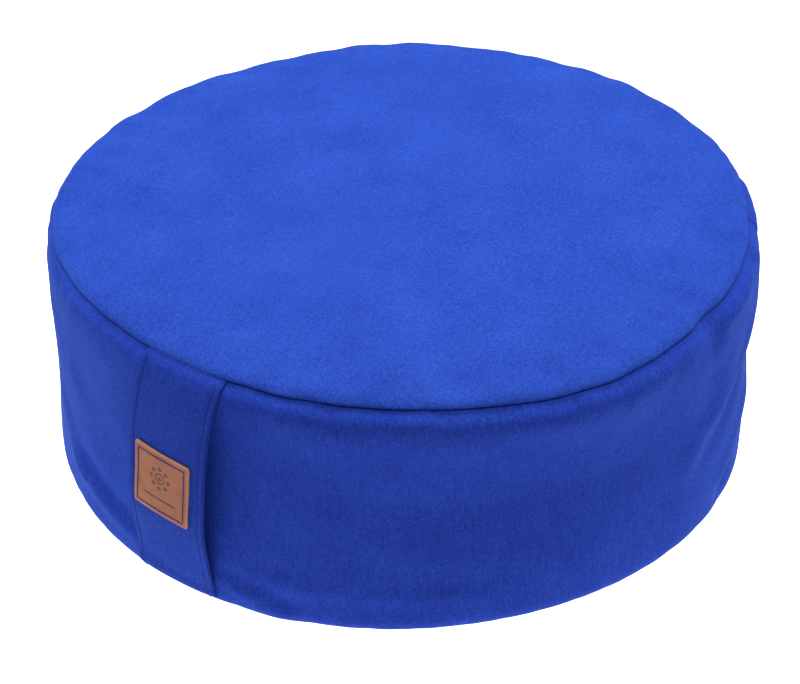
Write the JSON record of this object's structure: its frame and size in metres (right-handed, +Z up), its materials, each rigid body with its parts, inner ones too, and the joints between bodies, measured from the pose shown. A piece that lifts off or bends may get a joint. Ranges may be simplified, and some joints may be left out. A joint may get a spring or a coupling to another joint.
{
  "type": "round floor cushion",
  "caption": "Low round floor cushion: sewn twill cover with a strap handle, leather patch and zipped side, over an inner bag filled with grain hulls.",
  "frame": {"origin": "centre of the flat resting face, on the cushion's axis", "axes": "+Z up along the cushion's axis; the strap handle faces -Y; the middle of the cover's zip faces +Y"},
  "size_m": [0.4, 0.4132, 0.1576],
  "materials": {
    "cover_twill": "royal-blue cotton twill, matt",
    "blue_thread": "dark blue sewing thread",
    "patch_leather": "tan leather, matt, with a pressed pattern",
    "cover_zip_tape": "dark blue woven tape",
    "cover_zip_coil": "dark blue nylon coil",
    "zip_metal": "nickel-plated",
    "bag_cotton": "unbleached cotton",
    "white_thread": "white sewing thread",
    "bag_zip_tape": "white woven tape",
    "bag_zip_coil": "white nylon coil",
    "grain_hulls": "dry dark grain hulls"
  },
  "bodies": {
    "cushion": {"cover_top_panel": "cover_twill", "cover_bottom_panel": "cover_twill", "cover_side_band": "cover_twill", "zip_upper_strip": "cover_twill", "zip_lower_strip": "cover_twill", "handle_strap": "cover_twill", "handle_topstitch": "blue_thread", "leather_patch": "patch_leather", "patch_stitching": "blue_thread", "cover_top_seam_thread": "blue_thread", "cover_bottom_seam_thread": "blue_thread", "cover_cross_seam_thread": "blue_thread", "zip_upper_tape": "cover_zip_tape", "zip_lower_tape": "cover_zip_tape", "zip_upper_coil": "cover_zip_coil", "zip_lower_coil": "cover_zip_coil", "zip_topstitch": "blue_thread", "zip_top_stops": "zip_metal", "zip_bottom_stop": "zip_metal", "bag_top_panel": "bag_cotton", "bag_bottom_panel": "bag_cotton", "bag_side_band": "bag_cotton", "bag_top_seam_thread": "white_thread", "bag_bottom_seam_thread": "white_thread", "bag_zip_tapes": "bag_zip_tape", "bag_zip_coils": "bag_zip_coil", "bag_zip_topstitch": "white_thread", "bag_zip_stops": "zip_metal", "hull_fill": "grain_hulls"},
    "cover_slider": {"zip_slider": "zip_metal"},
    "cover_pull": {"zip_pull": "zip_metal"},
    "bag_slider": {"bag_zip_slider": "zip_metal"}
  },
  "joints": [
    {"name": "zip_slide", "type": "hinge", "parent": "cushion", "child": "cover_slider", "pos_m": [0, 0, 0.0793], "axis": [0, 0, -1], "range_deg": [0, 103.5]},
    {"name": "pull_swing", "type": "hinge", "parent": "cover_slider", "child": "cover_pull", "pos_m": [-0.15897, 0.12462, 0.0793], "axis": [0, 0, 1], "range_deg": [0, 180]},
    {"name": "bag_zip_slide", "type": "hinge", "parent": "cushion", "child": "bag_slider", "pos_m": [0, 0, 0.0793], "axis": [0, 0, -1], "range_deg": [0, 53.5]}
  ]
}
